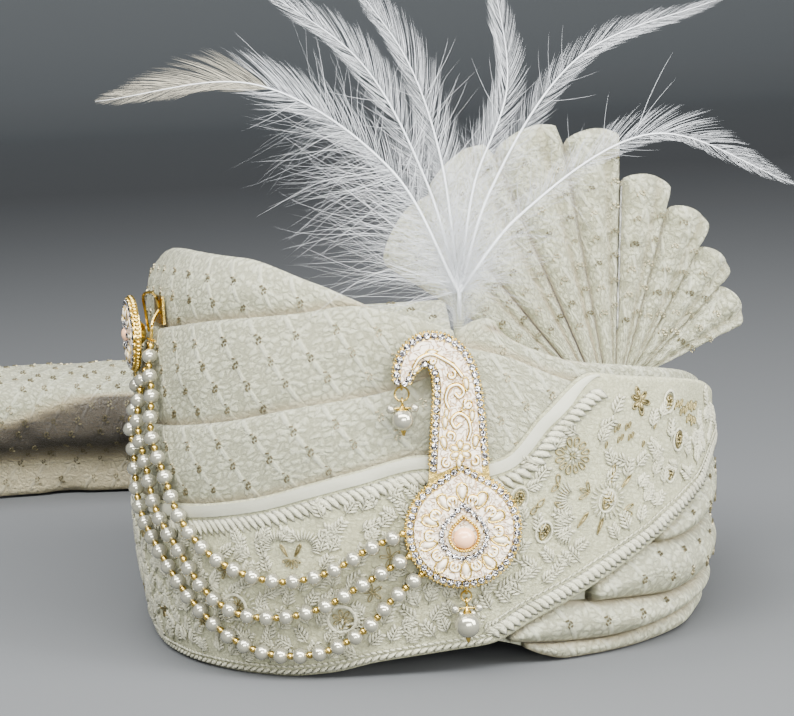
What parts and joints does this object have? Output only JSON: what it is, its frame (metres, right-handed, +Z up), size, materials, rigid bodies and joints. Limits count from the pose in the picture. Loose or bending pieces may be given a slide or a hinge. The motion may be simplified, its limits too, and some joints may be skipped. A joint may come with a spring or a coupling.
{
  "type": "tied turban pagri",
  "caption": "Pre-tied ivory brocade turban with nested wraps, pleated fan, feather plume, paisley brooch, side brooch, strings of pearls and a free tail; open head hollow below.",
  "frame": {"origin": "on the table, under the middle of the whole part, tail included", "axes": "+Z up, the brooch and front face -Y, +X to the right as seen from the front"},
  "size_m": [0.356, 0.4997, 0.2591],
  "materials": {
    "brocade": "woven brocade, matt, with small dull gold sequins",
    "panel": "embroidered cloth with satin and rope borders",
    "feather": "soft white hackle feather",
    "gold": "polished gold tone metal set with small clear stones",
    "enamel": "pale peach enamel with raised gold lines",
    "stone": "polished opaque peach stone",
    "steel": "plain",
    "pearl": "cool white pearl lustre"
  },
  "bodies": {
    "root": {"base_wrap": "brocade", "crown_cover": "brocade", "left_fold_lower": "brocade", "left_fold_middle": "brocade", "left_fold_top": "brocade", "right_crown_fold_1": "brocade", "right_crown_fold_2": "brocade", "right_roll_1": "brocade", "right_roll_2": "brocade", "right_roll_3": "brocade", "right_roll_4": "brocade", "fan": "brocade", "tail": "brocade", "front_panel": "panel", "plume": "feather", "brooch_plate": "gold", "upper_drop_ring": "gold", "lower_drop_ring": "gold", "side_brooch_plate": "gold", "side_brooch_clip": "gold", "brooch_medallion_enamel": "enamel", "brooch_hook_enamel": "enamel", "side_brooch_enamel": "enamel", "brooch_stone": "stone", "brooch_pin": "steel", "upper_drop_pearls": "pearl", "lower_drop_pearls": "pearl", "side_drop_pearl": "pearl", "pearl_strand_upper": "pearl", "pearl_strand_middle": "pearl", "pearl_strand_lower": "pearl"}
  },
  "joints": []
}
